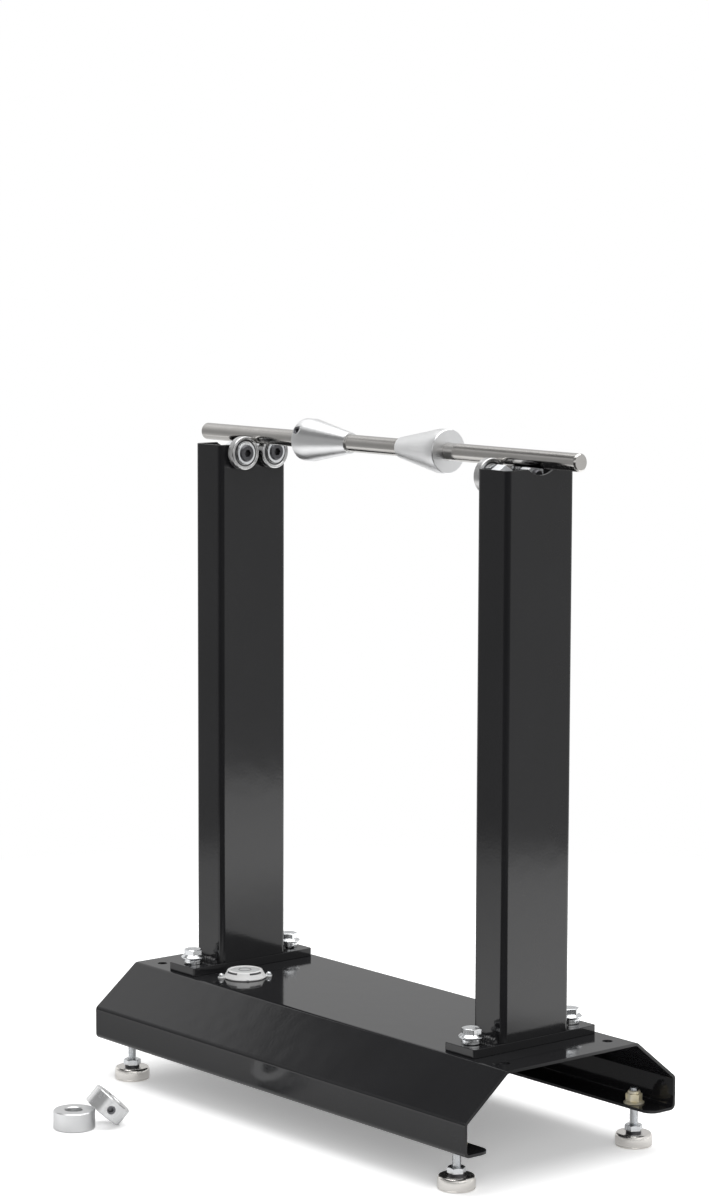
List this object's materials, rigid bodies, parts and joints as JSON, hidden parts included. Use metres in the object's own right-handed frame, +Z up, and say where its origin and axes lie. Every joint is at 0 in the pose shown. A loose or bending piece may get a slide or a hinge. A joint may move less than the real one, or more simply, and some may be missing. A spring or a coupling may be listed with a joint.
{
  "type": "wheel balancing stand",
  "caption": "Static wheel balancing stand: a bent sheet base on levelling feet, two tube posts with ball bearing rollers, and an axle with centring cones that spins on them.",
  "frame": {"origin": "on the floor under the middle of the base", "axes": "+X along the axle towards the front post, +Z up, +Y to the right seen from the front"},
  "size_m": [0.407, 0.299, 0.4843],
  "materials": {
    "black_coat": "glossy black powder coat",
    "zinc_plate": "bright zinc plated steel",
    "bearing_steel": "ground bearing steel",
    "polished_steel": "polished steel bar",
    "turned_aluminium": "turned aluminium, bright",
    "nickel_plate": "bright nickel plate",
    "black_oxide": "black oxide steel",
    "white_plastic": "moulded, glossy",
    "clear_plastic": "clear lens",
    "level_fluid": "pale clear liquid",
    "bubble_air": "air bubble",
    "mark_black": "printed ring"
  },
  "bodies": {
    "stand": {"base_channel": "black_coat", "front_post_tube": "black_coat", "rear_post_tube": "black_coat", "front_post_plate": "black_coat", "rear_post_plate": "black_coat", "front_post_welds": "black_coat", "rear_post_welds": "black_coat", "post_bolts": "zinc_plate", "post_spring_washers": "zinc_plate", "post_nuts": "zinc_plate", "roller_bolts": "black_oxide", "roller_spacers": "zinc_plate", "roller_washers": "zinc_plate", "roller_nuts": "zinc_plate", "roller_inner_rings": "bearing_steel", "foot_lock_nuts": "zinc_plate", "level_housing": "white_plastic", "level_lens": "clear_plastic", "level_liquid": "level_fluid", "level_bubble": "bubble_air", "level_ring": "mark_black", "level_screws": "zinc_plate"},
    "axle": {"axle": "polished_steel"},
    "front_left_roller": {"front_left_roller_ring": "bearing_steel", "front_left_roller_shields": "bearing_steel"},
    "front_left_cage": {"front_left_roller_balls": "bearing_steel", "front_left_roller_cage": "zinc_plate"},
    "front_right_roller": {"front_right_roller_ring": "bearing_steel", "front_right_roller_shields": "bearing_steel"},
    "front_right_cage": {"front_right_roller_balls": "bearing_steel", "front_right_roller_cage": "zinc_plate"},
    "rear_left_roller": {"rear_left_roller_ring": "bearing_steel", "rear_left_roller_shields": "bearing_steel"},
    "rear_left_cage": {"rear_left_roller_balls": "bearing_steel", "rear_left_roller_cage": "zinc_plate"},
    "rear_right_roller": {"rear_right_roller_ring": "bearing_steel", "rear_right_roller_shields": "bearing_steel"},
    "rear_right_cage": {"rear_right_roller_balls": "bearing_steel", "rear_right_roller_cage": "zinc_plate"},
    "front_cone": {"front_cone": "turned_aluminium"},
    "front_cone_screw": {"front_cone_screw": "black_oxide"},
    "rear_cone": {"rear_cone": "turned_aluminium"},
    "rear_cone_screw": {"rear_cone_screw": "black_oxide"},
    "flat_collar": {"flat_collar": "turned_aluminium"},
    "flat_collar_screw": {"flat_collar_screw": "black_oxide"},
    "leaning_collar": {"leaning_collar": "turned_aluminium"},
    "leaning_collar_screw": {"leaning_collar_screw": "black_oxide"},
    "front_left_foot": {"front_left_foot_pad": "nickel_plate", "front_left_foot_stud": "zinc_plate", "front_left_foot_hex": "zinc_plate"},
    "front_right_foot": {"front_right_foot_pad": "nickel_plate", "front_right_foot_stud": "zinc_plate", "front_right_foot_hex": "zinc_plate"},
    "rear_left_foot": {"rear_left_foot_pad": "nickel_plate", "rear_left_foot_stud": "zinc_plate", "rear_left_foot_hex": "zinc_plate"},
    "rear_right_foot": {"rear_right_foot_pad": "nickel_plate", "rear_right_foot_stud": "zinc_plate", "rear_right_foot_hex": "zinc_plate"}
  },
  "joints": [
    {"name": "axle_spin", "type": "hinge", "parent": "stand", "child": "axle", "pos_m": [0, 0, 0.4693], "axis": [1, 0, 0], "continuous": true},
    {"name": "front_left_roller_spin", "type": "hinge", "parent": "stand", "child": "front_left_roller", "pos_m": [0.1316, -0.0135, 0.45709], "axis": [1, 0, 0], "continuous": true},
    {"name": "front_left_cage_spin", "type": "hinge", "parent": "stand", "child": "front_left_cage", "pos_m": [0.1316, -0.0135, 0.45709], "axis": [1, 0, 0], "continuous": true},
    {"name": "front_right_roller_spin", "type": "hinge", "parent": "stand", "child": "front_right_roller", "pos_m": [0.1316, 0.0135, 0.45709], "axis": [1, 0, 0], "continuous": true},
    {"name": "front_right_cage_spin", "type": "hinge", "parent": "stand", "child": "front_right_cage", "pos_m": [0.1316, 0.0135, 0.45709], "axis": [1, 0, 0], "continuous": true},
    {"name": "rear_left_roller_spin", "type": "hinge", "parent": "stand", "child": "rear_left_roller", "pos_m": [-0.1316, -0.0135, 0.45709], "axis": [1, 0, 0], "continuous": true},
    {"name": "rear_left_cage_spin", "type": "hinge", "parent": "stand", "child": "rear_left_cage", "pos_m": [-0.1316, -0.0135, 0.45709], "axis": [1, 0, 0], "continuous": true},
    {"name": "rear_right_roller_spin", "type": "hinge", "parent": "stand", "child": "rear_right_roller", "pos_m": [-0.1316, 0.0135, 0.45709], "axis": [1, 0, 0], "continuous": true},
    {"name": "rear_right_cage_spin", "type": "hinge", "parent": "stand", "child": "rear_right_cage", "pos_m": [-0.1316, 0.0135, 0.45709], "axis": [1, 0, 0], "continuous": true},
    {"name": "front_cone_slide", "type": "slide", "parent": "axle", "child": "front_cone", "axis": [1, 0, 0], "range_m": [-0.026, 0.049]},
    {"name": "front_cone_screw_out", "type": "slide", "parent": "front_cone", "child": "front_cone_screw", "axis": [0, 0.866, -0.5], "range_m": [0, 0.004]},
    {"name": "rear_cone_slide", "type": "slide", "parent": "axle", "child": "rear_cone", "axis": [-1, 0, 0], "range_m": [-0.026, 0.049]},
    {"name": "rear_cone_screw_out", "type": "slide", "parent": "rear_cone", "child": "rear_cone_screw", "axis": [0, -0.866, 0.5], "range_m": [0, 0.004]},
    {"name": "flat_collar_push", "type": "slide", "parent": "stand", "child": "flat_collar", "axis": [-0.4226, -0.9063, 0], "range_m": [0, 0.06]},
    {"name": "flat_collar_screw_out", "type": "slide", "parent": "flat_collar", "child": "flat_collar_screw", "axis": [-0.1736, 0.9848, 0], "range_m": [0, 0.004]},
    {"name": "leaning_collar_lift", "type": "slide", "parent": "stand", "child": "leaning_collar", "axis": [0, 0, 1], "range_m": [0, 0.06]},
    {"name": "leaning_collar_screw_out", "type": "slide", "parent": "leaning_collar", "child": "leaning_collar_screw", "axis": [0.9006, -0.4345, 0.0115], "range_m": [0, 0.004]},
    {"name": "front_left_foot_screw", "type": "slide", "parent": "stand", "child": "front_left_foot", "axis": [0, 0, 1], "range_m": [-0.002, 0.0125]},
    {"name": "front_right_foot_screw", "type": "slide", "parent": "stand", "child": "front_right_foot", "axis": [0, 0, 1], "range_m": [-0.002, 0.0125]},
    {"name": "rear_left_foot_screw", "type": "slide", "parent": "stand", "child": "rear_left_foot", "axis": [0, 0, 1], "range_m": [-0.002, 0.0125]},
    {"name": "rear_right_foot_screw", "type": "slide", "parent": "stand", "child": "rear_right_foot", "axis": [0, 0, 1], "range_m": [-0.002, 0.0125]}
  ],
  "couplings": [
    {"joint": "front_left_roller_spin", "follows": "axle_spin", "ratio": -0.5},
    {"joint": "front_left_cage_spin", "follows": "axle_spin", "ratio": -0.29444},
    {"joint": "front_right_roller_spin", "follows": "axle_spin", "ratio": -0.5},
    {"joint": "front_right_cage_spin", "follows": "axle_spin", "ratio": -0.29444},
    {"joint": "rear_left_roller_spin", "follows": "axle_spin", "ratio": -0.5},
    {"joint": "rear_left_cage_spin", "follows": "axle_spin", "ratio": -0.29444},
    {"joint": "rear_right_roller_spin", "follows": "axle_spin", "ratio": -0.5},
    {"joint": "rear_right_cage_spin", "follows": "axle_spin", "ratio": -0.29444}
  ]
}
